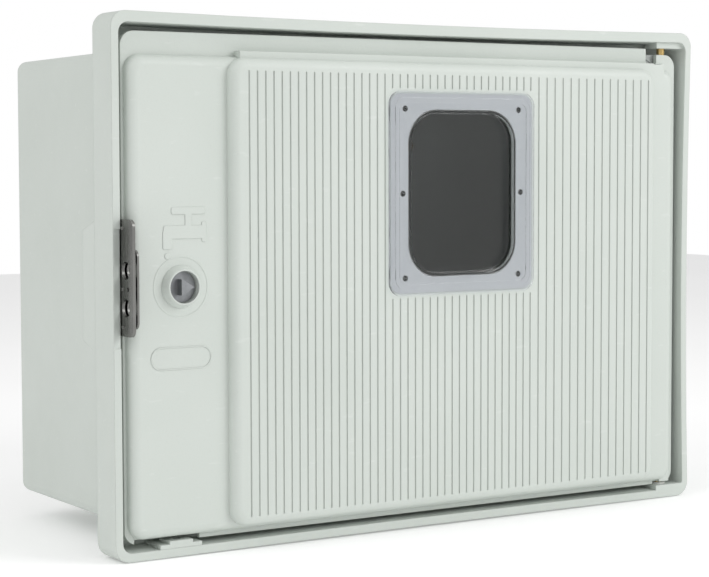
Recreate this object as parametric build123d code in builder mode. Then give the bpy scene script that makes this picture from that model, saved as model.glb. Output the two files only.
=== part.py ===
from build123d import *
import os
from math import cos, radians, sin, sqrt, tan

# Wall cabinet for a water meter, moulded in glass reinforced polyester. A deep box opens
# forward into a wider collar, and a door with a viewing window is hung inside the collar on
# two brass pins at its right side. A triangular key turns a crank that drops a bolt into the
# collar's floor, and two pierced plates at the left take a padlock.
# Millimetres. +X is to the right, +Z up, and the front faces -Y. The origin is the centre of
# the back face that lies on the wall.

os.makedirs("parts", exist_ok=True)

# ---------------------------------------------------------------- cabinet, driving sizes
cabinet_width = 510.0
cabinet_height = 370.0
cabinet_depth = 210.0
collar_depth = 28.0
collar_corner_radius = 11.0
mouth_corner_radius = 6.0
lip_side = 5.5
lip_top = 7.5
lip_bottom = 6.0
web_thickness = 4.0
mouth_draft = 3.0
side_draw_in = 3.0
top_draw_in = 2.0
bottom_draw_in = 1.0
body_inset_side = 20.0
body_inset_top = 24.0
body_inset_bottom = 18.0
body_wall = 4.0
body_draft = 0.5
body_edge_radius = 9.0

# ---------------------------------------------------------------- door, driving sizes
door_gap_left = 4.0
door_gap_right = 7.0
door_gap_top = 5.5
door_gap_bottom = 4.5
door_corner_radius = 10.0
flange_depth = 6.0
flange_thickness = 3.5
skin = 3.0
strip_proud = 2.0
panel_proud = 10.0
strip_margin_left = 2.0
strip_margin_right = 6.0
strip_margin_top = 15.7
strip_margin_bottom = 3.5
strip_corner_radius = 11.0
strip_edge_radius = 7.0
lock_strip_width = 76.5
hinge_strip_width = 32.0
panel_margin_top = 16.8
panel_margin_bottom = 6.8
panel_corner_radius = 12.0
panel_edge_radius = 6.5
step_band_rise = 5.0
rim_thickness = 3.0
rim_margin_top = 8.0
rim_margin_right = 17.5
rim_gap = 0.4
fine_pitch = 6.55
wide_pitch = 7.7
fine_share = 0.677
groove_width = 1.0
groove_depth = 0.7
groove_end_margin = 6.6
groove_margin_left = 13.1
groove_margin_right = 10.0

# ---------------------------------------------------------------- window, driving sizes
window_border_x = 19.0
window_border_z = 15.5
window_from_right = 232.0
window_from_top = 94.2
window_corner_radius = 10.0
view_width = 92.0
view_height = 116.0
view_corner_radius = 22.0
tub_wall = 2.0
tub_clearance = 0.6
window_gasket_thickness = 0.6
flange_plate = 1.8
rim_inset = 4.5
rim_width = 3.5
rim_rise = 0.9
tub_depth = 9.0
glass_thickness = 2.5
stake_radius = 2.0
stake_clearance = 0.3
stake_side_inset = 12.0
stake_corner_x = 14.0
stake_corner_z = 12.5

# ---------------------------------------------------------------- lock and bolt, driving sizes
lock_from_left = 49.5
lock_from_bottom = 185.0
boss_height = 6.0
boss_recess = 1.2
boss_rim = 1.0
boss_flare = 2.7
barrel_radius = 9.8
barrel_clearance = 0.1
shank_wall = 1.6
shank_clearance = 0.2
shank_length = 14.0
nut_rim = 3.5
nut_thickness = 6.0
key_side = 11.0
key_height = 6.3
barrel_flange = 0.6
barrel_flange_thickness = 1.2
tang_side = 8.0
crank_throw = 6.5
crank_pin_radius = 2.0
crank_thickness = 2.5
crank_radius = 12.0
crank_rest_angle = 45.0
crank_gap = 0.2
crank_screw_radius = 2.0
crank_screw_length = 12.0
crank_screw_head = 2.8
crank_screw_head_radius = 3.9
crank_screw_slot = 1.0
bolt_radius = 2.4
bolt_clearance = 0.1
bolt_depth = 9.0
bolt_tip_clearance = 5.0
bolt_tip_chamfer = 0.8
bolt_socket_depth = 6.0
yoke_gap = 0.4
yoke_thickness = 2.5
yoke_wall = 3.0
slot_clearance = 0.45
link_height = 8.0
link_half_width = 5.0
link_below_crank = 15.0
guide_width = 26.0
guide_height = 10.0
guide_front = 4.5
guide_back = 13.5
guide_screw_offset = 8.5
guide_screw_radius = 1.75
guide_screw_head = 2.0
upper_guide_drop = 58.0
lower_guide_rise = 13.0
keeper_hole_clearance = 1.3

# ---------------------------------------------------------------- hinge, driving sizes
hinge_from_right = 23.5
hinge_depth = 10.0
pin_radius = 3.2
pin_clearance = 0.08
pin_tip_chamfer = 0.6
knuckle_width = 9.6
knuckle_back = 16.5
upper_knuckle_height = 21.0
lower_knuckle_height = 14.0
ledge_drop = 5.0
ledge_reach = 10.0
ledge_front = 3.0
ledge_back = 17.0
sill_height = 4.0
pin_travel = 6.5
notch_to_hinge = 7.8
notch_width = 10.8
notch_depth = 12.6
notch_corner_radius = 3.0
lowered_corner_drop = 4.5
lowered_corner_radius = 10.0
raised_corner_gap = 2.6
hinge_bay_width = 16.0
hinge_bay_height = 34.0
guide_length = 7.0
stem_radius = 1.8
spring_radius = 3.8
spring_bore_radius = 2.1
pocket_radius = 4.4
clip_room = 4.0
clip_slot = 1.6
clip_gap = 0.3
clip_thickness = 0.8
lever_thickness = 2.5
lever_gap = 0.1
tab_width = 13.8
tab_drop = 4.5
tab_thickness = 1.5
tab_gap = 0.9
rib_radius = 0.6
washer_thickness = 1.4
washer_rim = 2.8
washer_clearance = 2.5

# ---------------------------------------------------------------- padlock plates
plate_thickness = 2.0
door_plate_thickness = 1.5
hasp_hole_radius = 6.0
hasp_hole_pitch = 25.0
hasp_hole_depth = -6.6
seal_hole_depth = -9.5
seal_hole_radius = 1.5
plate_corner = 5.0
frame_plate_height = 78.0
frame_plate_rise = 7.5
frame_plate_front = -17.0
frame_plate_back = 10.0
frame_rivet_radius = 1.2
frame_rivet_depth = 5.0
pip_radius = 1.3
pip_height = 0.7
pip_depth = -1.6
scallop_depth = 1.2
lip_skin = 0.8
rivet_skin = 1.8
door_plate_height = 53.0
door_plate_front = -15.5
door_plate_back = 21.0
rivet_radius = 1.6
rivet_head = 1.0
rivet_head_height = 0.9
pad_half_back = 38.0
pad_half_front = 45.0
pad_depth = 47.0

# ---------------------------------------------------------------- keeper block of the bolt
keeper_step_width = 32.0
keeper_step_height = 3.3
keeper_top_width = 18.0
keeper_height = 5.5
keeper_back = 16.0
keeper_step_back = 23.0
keeper_gap_to_left = 33.0
keeper_gap_to_right = 17.0

# ---------------------------------------------------------------- raised signs on the strip
relief = 0.4
lock_ring_gap = 6.3
lock_ring_relief = 0.15
oval_length = 46.5
oval_height = 15.7
oval_line = 0.9
oval_below_lock = 48.4
sign_above_lock = 36.0

# ---------------------------------------------------------------- wall, board and pipes
wall_hole_radius = 4.5
wall_spacing_x = 430.0
wall_spacing_z = 280.0
wall_pad_radius = 12.0
insert_spacing_x = 230.0
insert_spacing_z = 200.0
insert_radius = 4.5
insert_bore_radius = 2.5
insert_length = 10.0
insert_boss_radius = 8.0
insert_boss_height = 12.0
pipe_hole_radius = 20.0
pipe_bore_radius = 13.5
pipe_spacing = 240.0
pipe_from_wall = 70.0
grommet_lip = 2.5

# ---------------------------------------------------------------- places worked out from them
body_height = cabinet_height - body_inset_top - body_inset_bottom
body_width = cabinet_width - 2 * body_inset_side
body_depth = cabinet_depth - collar_depth
collar_left = -cabinet_width / 2
collar_right = cabinet_width / 2
collar_bottom = -body_height / 2 - body_inset_bottom
collar_top = collar_bottom + cabinet_height
web_depth = collar_depth - web_thickness
mouth_shrink = web_depth * tan(radians(mouth_draft))
ceiling = collar_top - lip_top
floor = collar_bottom + lip_bottom

door_left = collar_left + lip_side + door_gap_left
door_right = collar_right - lip_side - door_gap_right
door_top = ceiling - door_gap_top
door_bottom = floor + door_gap_bottom
flange_back = flange_depth + flange_thickness
strip_left = door_left + strip_margin_left
strip_right = door_right - strip_margin_right
strip_top = door_top - strip_margin_top
strip_bottom = door_bottom + strip_margin_bottom
panel_left = door_left + lock_strip_width
panel_right = door_right - hinge_strip_width
panel_top = door_top - panel_margin_top
panel_bottom = door_bottom + panel_margin_bottom
rim_back = web_depth - rim_gap

window_width = view_width + 2 * window_border_x
window_height = view_height + 2 * window_border_z
window_x = collar_right - window_from_right
window_z = panel_top - window_from_top
lock_x = collar_left + lock_from_left
lock_z = collar_bottom + lock_from_bottom
hinge_x = collar_right - hinge_from_right


def y_at(depth):
    """Y of a point that lies this far behind the front of the collar."""
    return depth - cabinet_depth


def front_plane(depth):
    """Plane facing forward, this far behind the front of the collar; its axes are X and Z."""
    return Plane.XZ.offset(cabinet_depth - depth)


def back_plane(depth):
    """Plane facing the wall, this far behind the front of the collar; its axes are -X and Z."""
    return Plane(origin=(0, y_at(depth), 0), x_dir=(-1, 0, 0), z_dir=(0, 1, 0))


def drawn_in_outline(depth, left, right, bottom, top, radius):
    """Rounded rectangle whose right, top and bottom sides are pulled in at mid length."""
    mid_x = (left + right) / 2
    mid_z = (bottom + top) / 2
    with BuildSketch(front_plane(depth)) as outline:
        with BuildLine():
            Line((left, bottom), (left, top))
            ThreePointArc((left, top), (mid_x, top - top_draw_in), (right, top))
            ThreePointArc((right, top), (right - side_draw_in, mid_z), (right, bottom))
            ThreePointArc((right, bottom), (mid_x, bottom + bottom_draw_in), (left, bottom))
        make_face()
        fillet(outline.vertices(), radius)
    return outline.sketch


def pressed_form(left, right, bottom, top, back, front, corner, edge):
    """Raised rounded rectangle of a moulding, its front edges rolled over."""
    with BuildPart() as form:
        with BuildSketch(front_plane(back)):
            with Locations(((left + right) / 2, (bottom + top) / 2)):
                RectangleRounded(right - left, top - bottom, corner)
        extrude(amount=back - front)
        front_face = form.faces().sort_by(Axis.Y)[0]
        fillet(front_face.edges(), edge)
    return form.part


# ================================================================ cabinet_box, cabinet_collar
# The deep drafted box, and in front of it the wider collar with the web behind the door. They
# meet in the plane of the collar's back.
collar_outline = drawn_in_outline(
    collar_depth, collar_left, collar_right, collar_bottom, collar_top, collar_corner_radius
)
mouth_outline = drawn_in_outline(
    web_depth,
    collar_left + lip_side + mouth_shrink,
    collar_right - lip_side - mouth_shrink,
    floor + mouth_shrink,
    ceiling - mouth_shrink,
    mouth_corner_radius,
)
hasp_z = lock_z
keeper_x = lock_x
keeper_hole_radius = bolt_radius + keeper_hole_clearance
ledge_bottom = ceiling - ledge_drop
ledge_left = hinge_x - ledge_reach
ledge_right = collar_right - lip_side - side_draw_in / 3
sill_top = floor + sill_height
frame_rivet_drop = 25.5
frame_rivet_rise = 40.5
frame_rivet_zs = (hasp_z - frame_rivet_drop, hasp_z, hasp_z + frame_rivet_rise)
frame_plate_left = collar_left + lip_side + frame_plate_back * tan(radians(mouth_draft)) + 0.08

with BuildPart() as cabinet:
    extrude(collar_outline, amount=collar_depth)
    # the box behind the collar, drafted and rounded for moulding
    with BuildSketch(back_plane(collar_depth)):
        RectangleRounded(body_width, body_height, body_edge_radius)
    extrude(amount=body_depth, taper=body_draft)
    fillet(cabinet.faces().sort_by(Axis.Y)[-1].edges(), body_edge_radius - 1)
    # the mouth that the door closes
    extrude(mouth_outline, amount=web_depth, taper=-mouth_draft, mode=Mode.SUBTRACT)
    # the hollow of the box
    with BuildSketch(back_plane(web_depth)):
        RectangleRounded(
            body_width - 2 * body_wall, body_height - 2 * body_wall, body_edge_radius - body_wall + 1
        )
    extrude(amount=cabinet_depth - web_depth - body_wall, taper=body_draft, mode=Mode.SUBTRACT)
    # thickened pad at the left that carries the padlock plate, hollow behind the web
    with BuildSketch(Plane.YZ.offset(collar_left)):
        with BuildLine():
            Polyline(
                (y_at(collar_depth - 1), hasp_z - pad_half_front),
                (y_at(pad_depth), hasp_z - pad_half_back),
                (y_at(pad_depth), hasp_z + pad_half_back),
                (y_at(collar_depth - 1), hasp_z + pad_half_front),
                close=True,
            )
        make_face()
    extrude(amount=body_inset_side + 1)
    with BuildSketch(Plane.YZ.offset(collar_left + lip_side + mouth_shrink)):
        with Locations((y_at((web_depth + pad_depth - body_wall) / 2 - 0.5), hasp_z)):
            Rectangle(pad_depth - body_wall - web_depth + 1, 2 * (pad_half_back - body_wall))
    extrude(amount=body_inset_side - lip_side - mouth_shrink, mode=Mode.SUBTRACT)
    # ledge under the ceiling for the upper hinge pin, and sill on the floor for the lower one
    with BuildSketch(Plane.XY.offset(ledge_bottom)):
        with Locations(((ledge_left + ledge_right) / 2, y_at((ledge_front + ledge_back) / 2))):
            Rectangle(ledge_right - ledge_left, ledge_back - ledge_front)
    extrude(amount=ledge_drop + lip_top / 2)
    with BuildSketch(Plane.XY.offset(collar_bottom + lip_bottom / 2)):
        with Locations(((ledge_left + ledge_right) / 2, y_at(ledge_back / 2))):
            Rectangle(ledge_right - ledge_left, ledge_back)
    extrude(amount=sill_top - collar_bottom - lip_bottom / 2)
    # holes for the two hinge pins
    with BuildSketch(Plane.XY.offset(ledge_bottom)):
        with Locations((hinge_x, y_at(hinge_depth))):
            Circle(pin_radius + pin_clearance)
    extrude(amount=ledge_drop + 0.6, mode=Mode.SUBTRACT)
    with BuildSketch(Plane.XY.offset(sill_top)):
        with Locations((hinge_x, y_at(hinge_depth))):
            Circle(pin_radius)
    extrude(amount=-(sill_top - collar_bottom - 2.4), mode=Mode.SUBTRACT)
    # scallop in the lip beside the padlock plate
    with BuildSketch(Plane.XY.offset(hasp_z - frame_plate_height / 2 - 1)):
        with BuildLine():
            Polyline(
                (collar_left + lip_skin, y_at(0)),
                (collar_left + 2 * lip_side, y_at(2 * scallop_depth)),
                (collar_left + 2 * lip_side, y_at(-1)),
                (collar_left + lip_skin, y_at(-1)),
                close=True,
            )
        make_face()
    extrude(amount=frame_plate_height + 2, mode=Mode.SUBTRACT)
    # blind holes for the padlock plate's rivets
    with BuildSketch(Plane.YZ.offset(collar_left + rivet_skin)):
        with Locations(*[(y_at(frame_rivet_depth), z) for z in frame_rivet_zs]):
            Circle(frame_rivet_radius)
    extrude(amount=body_inset_side / 2, mode=Mode.SUBTRACT)
    # pads and holes for the four wall fixings
    with BuildSketch(front_plane(cabinet_depth - body_wall)):
        with GridLocations(wall_spacing_x, wall_spacing_z, 2, 2):
            Circle(wall_pad_radius)
    extrude(amount=body_wall)
    with BuildSketch(front_plane(cabinet_depth)):
        with GridLocations(wall_spacing_x, wall_spacing_z, 2, 2):
            Circle(wall_hole_radius)
    extrude(amount=2 * body_wall, mode=Mode.SUBTRACT)
    # bosses for the threaded inserts of an inner board or meter bracket
    with BuildSketch(front_plane(cabinet_depth - body_wall)):
        with GridLocations(insert_spacing_x, insert_spacing_z, 2, 2):
            Circle(insert_boss_radius)
    extrude(amount=insert_boss_height)
    with BuildSketch(front_plane(cabinet_depth - body_wall - insert_boss_height)):
        with GridLocations(insert_spacing_x, insert_spacing_z, 2, 2):
            Circle(insert_radius)
    extrude(amount=-insert_length, mode=Mode.SUBTRACT)
    # two pipe entries in the bottom of the box
    with BuildSketch(Plane.XY.offset(-body_height / 2 - 1)):
        with Locations((0, -pipe_from_wall)):
            with GridLocations(pipe_spacing, 1, 2, 1):
                Circle(pipe_hole_radius)
    extrude(amount=body_wall + 6, mode=Mode.SUBTRACT)

with BuildPart() as cabinet_box:
    add(cabinet.part)
    split(bisect_by=front_plane(collar_depth), keep=Keep.BOTTOM)
cabinet_box.part.label = "cabinet_box"
export_step(cabinet_box.part, "parts/cabinet_box.step")

with BuildPart() as cabinet_collar:
    add(cabinet.part)
    split(bisect_by=front_plane(collar_depth), keep=Keep.TOP)
cabinet_collar.part.label = "cabinet_collar"
export_step(cabinet_collar.part, "parts/cabinet_collar.step")

# ================================================================ keeper_block
# Two-tier block on the collar's floor, straight below the lock, bored for the drop bolt.
with BuildPart() as keeper_block:
    with BuildSketch(Plane.XY.offset(collar_bottom + lip_bottom / 2)):
        with Locations((keeper_x, y_at(keeper_step_back / 2))):
            Rectangle(keeper_step_width, keeper_step_back)
    extrude(amount=lip_bottom / 2 + keeper_step_height)
    with BuildSketch(Plane.XY.offset(collar_bottom + lip_bottom / 2)):
        with Locations((keeper_x, y_at(keeper_back / 2))):
            Rectangle(keeper_top_width, keeper_back)
    extrude(amount=lip_bottom / 2 + keeper_height)
    with BuildSketch(Plane.XY.offset(collar_bottom + lip_bottom / 2)):
        with Locations((keeper_x, y_at(bolt_depth))):
            Circle(keeper_hole_radius)
    extrude(amount=lip_bottom / 2 + keeper_height, mode=Mode.SUBTRACT)
    add(cabinet.part, mode=Mode.SUBTRACT)
keeper_block.part.label = "keeper_block"
export_step(keeper_block.part, "parts/keeper_block.step")

# ================================================================ board_inserts
# Knurled brass inserts moulded into the four bosses of the back wall.
with BuildPart() as board_inserts:
    with BuildSketch(front_plane(cabinet_depth - body_wall - insert_boss_height)):
        with GridLocations(insert_spacing_x, insert_spacing_z, 2, 2):
            Circle(insert_radius)
            Circle(insert_bore_radius, mode=Mode.SUBTRACT)
    extrude(amount=-insert_length)
board_inserts.part.label = "board_inserts"
export_step(board_inserts.part, "parts/board_inserts.step")

# ================================================================ pipe_grommets
# Rubber grommets that close the pipe entries round the pipe.
grommet_wall = 4.0
entry_bottom = -body_height / 2
with BuildPart() as pipe_grommets:
    with BuildSketch(Plane.XZ.offset(pipe_from_wall)):
        with BuildLine():
            Polyline(
                (pipe_bore_radius, entry_bottom - grommet_lip),
                (pipe_hole_radius + 4, entry_bottom - grommet_lip),
                (pipe_hole_radius + 4, entry_bottom - 0.1),
                (pipe_hole_radius - 0.1, entry_bottom - 0.1),
                (pipe_hole_radius - 0.1, entry_bottom + grommet_wall + 1.5),
                (pipe_hole_radius + 3, entry_bottom + grommet_wall + 1.5),
                (pipe_hole_radius - 1, entry_bottom + grommet_wall + 5.5),
                (pipe_bore_radius, entry_bottom + grommet_wall + 5.5),
                close=True,
            )
        make_face()
    revolve(axis=Axis((0, -pipe_from_wall, 0), (0, 0, 1)))
grommet_ring = pipe_grommets.part
pipe_grommets = Compound(
    children=[
        Pos(-pipe_spacing / 2, 0, 0) * grommet_ring,
        Pos(pipe_spacing / 2, 0, 0) * grommet_ring,
    ]
)
pipe_grommets.label = "pipe_grommets"
export_step(pipe_grommets, "parts/pipe_grommets.step")

# ================================================================ door_panel
# One moulding: thin flange, raised strip that carries lock and hinges, ribbed panel on top,
# a closing rim behind, and the knuckles, screw bosses and pockets of the fittings.
rim_left = strip_left
rim_right = door_right - rim_margin_right
rim_top = door_top - rim_margin_top
rim_bottom = strip_bottom
hinge_bay_left = rim_right - hinge_bay_width
hinge_bay_bottom = rim_top - hinge_bay_height
knuckle_left = hinge_x - knuckle_width / 2
lowered_top = door_top - lowered_corner_drop
upper_knuckle_bottom = lowered_top - upper_knuckle_height
guide_top = hinge_bay_bottom - rim_thickness / 2
guide_bottom = guide_top - guide_length
raised_corner_bottom = sill_top + raised_corner_gap
raised_corner_left = hinge_x - pin_radius - washer_rim - washer_clearance
lower_knuckle_top = raised_corner_bottom + lower_knuckle_height
step_band_indent = 10.5
step_band_left = panel_left + step_band_indent
step_band_right = rim_right
notch_right = hinge_x - notch_to_hinge
notch_left = notch_right - notch_width
keeper_gap_left = keeper_x - keeper_gap_to_left
keeper_gap_right = keeper_x + keeper_gap_to_right
shank_radius = barrel_radius + barrel_clearance + shank_wall
shank_hole_radius = shank_radius + shank_clearance
boss_rim_radius = barrel_radius + boss_recess + boss_rim
boss_base_radius = boss_rim_radius + boss_flare
lock_ring_radius = boss_base_radius + lock_ring_gap
window_opening_x = view_width + 2 * (tub_wall + tub_clearance)
window_opening_z = view_height + 2 * (tub_wall + tub_clearance)
window_opening_radius = view_corner_radius + tub_wall + tub_clearance
stake_places = [
    (
        window_x + side * (window_width / 2 - stake_corner_x),
        window_z + level * (window_height / 2 - stake_corner_z),
    )
    for side in (-1, 1)
    for level in (-1, 1)
] + [(window_x + side * (window_width / 2 - stake_side_inset), window_z) for side in (-1, 1)]
guide_zs = (lock_z - upper_guide_drop, strip_bottom + lower_guide_rise)
guide_screw_places = [(lock_x + side * guide_screw_offset, z) for side in (-1, 1) for z in guide_zs]
sign_z = lock_z + sign_above_lock
sign_oval_z = lock_z - oval_below_lock
door_plate_rivet_depth = 15.5
door_plate_rivet_zs = (hasp_z - 15.0, hasp_z + 15.0)
skin_back = skin - strip_proud
panel_skin_back = skin - panel_proud
grooved_width = panel_right - panel_left - groove_margin_left - groove_margin_right
fine_count = round(fine_share * grooved_width / fine_pitch)
groove_first = panel_left + groove_margin_left
wide_first = groove_first + fine_count * fine_pitch
wide_count = round((panel_right - groove_margin_right - wide_first) / wide_pitch)
groove_xs = [groove_first + fine_pitch * i for i in range(fine_count + 1)]
groove_xs += [wide_first + wide_pitch * (i + 1) for i in range(wide_count)]
groove_bottom = panel_bottom + groove_end_margin
groove_top = panel_top - groove_end_margin - 2.0
island_bottom = window_z - window_height / 2 - 2.0
island_top = window_z + window_height / 2 + 2.0
island_half = window_width / 2 + 1.0

strip_form = pressed_form(
    strip_left, strip_right, strip_bottom, strip_top,
    flange_back, -strip_proud, strip_corner_radius, strip_edge_radius,
)
strip_hollow = pressed_form(
    strip_left + skin, strip_right - skin, strip_bottom + skin, strip_top - skin,
    flange_back + 1, skin_back, strip_corner_radius - skin, strip_edge_radius - skin,
)
panel_form = pressed_form(
    panel_left, panel_right, panel_bottom, panel_top,
    flange_depth, -panel_proud, panel_corner_radius, panel_edge_radius,
)
panel_hollow = pressed_form(
    panel_left + skin, panel_right - skin, panel_bottom + skin, panel_top - skin,
    flange_back + 1, panel_skin_back, panel_corner_radius - skin, panel_edge_radius - skin,
)


def hinge_block(bottom, top, front):
    """Block of the door moulding round the hinge axis."""
    with BuildPart() as block:
        with BuildSketch(Plane.XY.offset(bottom)):
            with Locations((hinge_x, y_at((front + knuckle_back) / 2))):
                Rectangle(knuckle_width, knuckle_back - front)
        extrude(amount=top - bottom)
    return block.part


with BuildPart() as door_panel:
    with BuildSketch(front_plane(flange_back)):
        with Locations(((door_left + door_right) / 2, (door_bottom + door_top) / 2)):
            RectangleRounded(door_right - door_left, door_top - door_bottom, door_corner_radius)
    extrude(amount=flange_thickness)
    # step band above the panel, level with the strip
    with BuildSketch(front_plane(flange_back)):
        with Locations(((step_band_left + step_band_right) / 2, (panel_top + step_band_rise) / 2)):
            Rectangle(step_band_right - step_band_left, panel_top + step_band_rise)
    extrude(amount=flange_back + strip_proud)
    add(strip_form)
    add(panel_form)
    add(strip_hollow, mode=Mode.SUBTRACT)
    add(panel_hollow, mode=Mode.SUBTRACT)
    # closing rim, stepped round the bay of the upper hinge pin
    with BuildSketch(front_plane(rim_back)):
        with BuildLine():
            Polyline(
                (rim_left, rim_bottom),
                (rim_left, rim_top),
                (hinge_bay_left, rim_top),
                (hinge_bay_left, hinge_bay_bottom),
                (rim_right, hinge_bay_bottom),
                (rim_right, rim_bottom),
                close=True,
            )
        make_face()
        offset(amount=-rim_thickness, mode=Mode.SUBTRACT)
    extrude(amount=rim_back - flange_back + 0.5)
    # knuckles of the two hinge pins, and the guide of the upper pin's stem
    add(hinge_block(upper_knuckle_bottom, lowered_top, flange_depth))
    add(hinge_block(guide_bottom, guide_top, skin_back + 1))
    add(hinge_block(raised_corner_bottom, lower_knuckle_top, skin_back + 1))
    # lowered and rounded upper right corner, and raised lower right corner
    with BuildSketch(front_plane(knuckle_back)):
        with BuildLine():
            Line((notch_right, lowered_top), (door_right - lowered_corner_radius, lowered_top))
            RadiusArc(
                (door_right - lowered_corner_radius, lowered_top),
                (door_right, lowered_top - lowered_corner_radius),
                lowered_corner_radius,
            )
            Polyline(
                (door_right, lowered_top - lowered_corner_radius),
                (door_right + 2, lowered_top - lowered_corner_radius),
                (door_right + 2, door_top + 2),
                (notch_right, door_top + 2),
                (notch_right, lowered_top),
            )
        make_face()
    extrude(amount=knuckle_back - flange_depth, mode=Mode.SUBTRACT)
    with BuildSketch(front_plane(rim_back)):
        with Locations(((raised_corner_left + door_right + 2) / 2, raised_corner_bottom - 10)):
            Rectangle(door_right + 2 - raised_corner_left, 20)
    extrude(amount=rim_back + panel_proud, mode=Mode.SUBTRACT)
    # notch in the upper edge that shows the pin's thumb tab
    with BuildSketch(front_plane(flange_back)):
        with Locations(((notch_left + notch_right) / 2, door_top - notch_depth + 10)):
            RectangleRounded(notch_width, 20, notch_corner_radius)
    extrude(amount=flange_back + strip_proud, mode=Mode.SUBTRACT)
    # gap in the lower edge over the keeper block, and slot for the bolt
    with BuildSketch(front_plane(flange_back)):
        with Locations(((keeper_gap_left + keeper_gap_right) / 2, door_bottom)):
            Rectangle(keeper_gap_right - keeper_gap_left, 2 * strip_margin_bottom)
    extrude(amount=flange_thickness, mode=Mode.SUBTRACT)
    with BuildSketch(Plane.XY.offset(strip_bottom - 1)):
        with Locations((lock_x, y_at((bolt_depth + rim_back) / 2))):
            Rectangle(2 * (bolt_radius + 0.5), rim_back - bolt_depth + 1)
        with Locations((lock_x, y_at(bolt_depth))):
            Circle(bolt_radius + 0.5)
    extrude(amount=rim_thickness + 2, mode=Mode.SUBTRACT)
    # notch in the left edge for the padlock plate
    with BuildSketch(front_plane(flange_back)):
        with Locations((door_left + strip_margin_left / 2 - 1, hasp_z)):
            Rectangle(strip_margin_left + 2, door_plate_height + 1)
    extrude(amount=flange_thickness, mode=Mode.SUBTRACT)
    # bores of the hinge: upper pin, its stem and spring pocket, lower pin
    with BuildSketch(Plane.XY.offset(upper_knuckle_bottom - 1)):
        with Locations((hinge_x, y_at(hinge_depth))):
            Circle(pin_radius + pin_clearance)
    extrude(amount=lowered_top - upper_knuckle_bottom + 2, mode=Mode.SUBTRACT)
    with BuildSketch(Plane.XY.offset(guide_top)):
        with Locations((hinge_x, y_at(hinge_depth))):
            Circle(pocket_radius)
    extrude(amount=upper_knuckle_bottom - guide_top, mode=Mode.SUBTRACT)
    with BuildSketch(Plane.XY.offset(guide_bottom)):
        with Locations((hinge_x, y_at(hinge_depth))):
            Circle(pocket_radius)
    extrude(amount=-(pin_travel + clip_room), mode=Mode.SUBTRACT)
    with BuildSketch(Plane.XY.offset(guide_bottom)):
        with Locations((hinge_x, y_at(hinge_depth))):
            Circle(stem_radius + pin_clearance)
    extrude(amount=guide_top - guide_bottom, mode=Mode.SUBTRACT)
    with BuildSketch(Plane.XY.offset(raised_corner_bottom)):
        with Locations((hinge_x, y_at(hinge_depth))):
            Circle(pin_radius + pin_clearance)
    extrude(amount=lower_knuckle_top - raised_corner_bottom, mode=Mode.SUBTRACT)
    # low relief on the strip: a tap sign above the lock, a ring round it, a blank oval below
    with BuildSketch(front_plane(-strip_proud)):
        with Locations((lock_x + 6, sign_z + 15.5)):
            RectangleRounded(26, 5, 1.5)
        with Locations((lock_x + 6, sign_z + 9)):
            Rectangle(5, 9)
        with Locations((lock_x + 2.5, sign_z + 1)):
            RectangleRounded(31, 9, 1.5)
        with Locations((lock_x + 18, sign_z + 1)):
            RectangleRounded(3.5, 14, 1)
        with Locations((lock_x - 10, sign_z - 4)):
            RectangleRounded(7, 13, 1.5)
        with Locations((lock_x - 10, sign_z - 15)):
            Circle(2.2)
        with Locations((lock_x, sign_oval_z)):
            SlotOverall(oval_length, oval_height)
            SlotOverall(oval_length - 2 * oval_line, oval_height - 2 * oval_line, mode=Mode.SUBTRACT)
    extrude(amount=relief)
    with BuildSketch(front_plane(-strip_proud)):
        with Locations((lock_x, lock_z)):
            Circle(lock_ring_radius)
            Circle(lock_ring_radius - oval_line, mode=Mode.SUBTRACT)
    extrude(amount=lock_ring_relief)
    # hole for the lock, screw bosses for the bolt's guides
    with BuildSketch(front_plane(skin_back)):
        with Locations((lock_x, lock_z)):
            Circle(shank_hole_radius)
    extrude(amount=skin, mode=Mode.SUBTRACT)
    with BuildSketch(front_plane(guide_front)):
        with Locations(*guide_screw_places):
            Circle(guide_screw_radius + 2)
            Circle(guide_screw_radius, mode=Mode.SUBTRACT)
    extrude(amount=guide_front - skin_back)
    # rivet holes for the padlock plate
    with BuildSketch(Plane.YZ.offset(rim_left)):
        with Locations(*[(y_at(door_plate_rivet_depth), z) for z in door_plate_rivet_zs]):
            Circle(rivet_radius)
    extrude(amount=rim_thickness, mode=Mode.SUBTRACT)
    # window opening and the holes for its stakes
    with BuildSketch(front_plane(panel_skin_back)):
        with Locations((window_x, window_z)):
            RectangleRounded(window_opening_x, window_opening_z, window_opening_radius)
        with Locations(*stake_places):
            Circle(stake_radius + stake_clearance)
    extrude(amount=skin, mode=Mode.SUBTRACT)
    # fine upright grooves, interrupted round the window
    with BuildSketch(front_plane(groove_depth - panel_proud)):
        for groove_x in groove_xs:
            if abs(groove_x - window_x) < island_half:
                spans = [(groove_bottom, island_bottom), (island_top, groove_top)]
            else:
                spans = [(groove_bottom, groove_top)]
            for low, high in spans:
                with Locations((groove_x, (low + high) / 2)):
                    SlotOverall(high - low, groove_width, rotation=90)
    extrude(amount=groove_depth, mode=Mode.SUBTRACT)
door_panel.part.label = "door_panel"
export_step(door_panel.part, "parts/door_panel.step")

# ================================================================ window_gasket
# Flat sheet of soft foam between the panel and the window's flange.
with BuildPart() as window_gasket:
    with BuildSketch(front_plane(-panel_proud)):
        with Locations((window_x, window_z)):
            RectangleRounded(window_width - 3, window_height - 3, window_corner_radius - 1.5)
            RectangleRounded(window_opening_x, window_opening_z, window_opening_radius, mode=Mode.SUBTRACT)
        with Locations(*stake_places):
            Circle(stake_radius + stake_clearance, mode=Mode.SUBTRACT)
    extrude(amount=window_gasket_thickness)
window_gasket.part.label = "window_gasket"
export_step(window_gasket.part, "parts/window_gasket.step")

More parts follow.
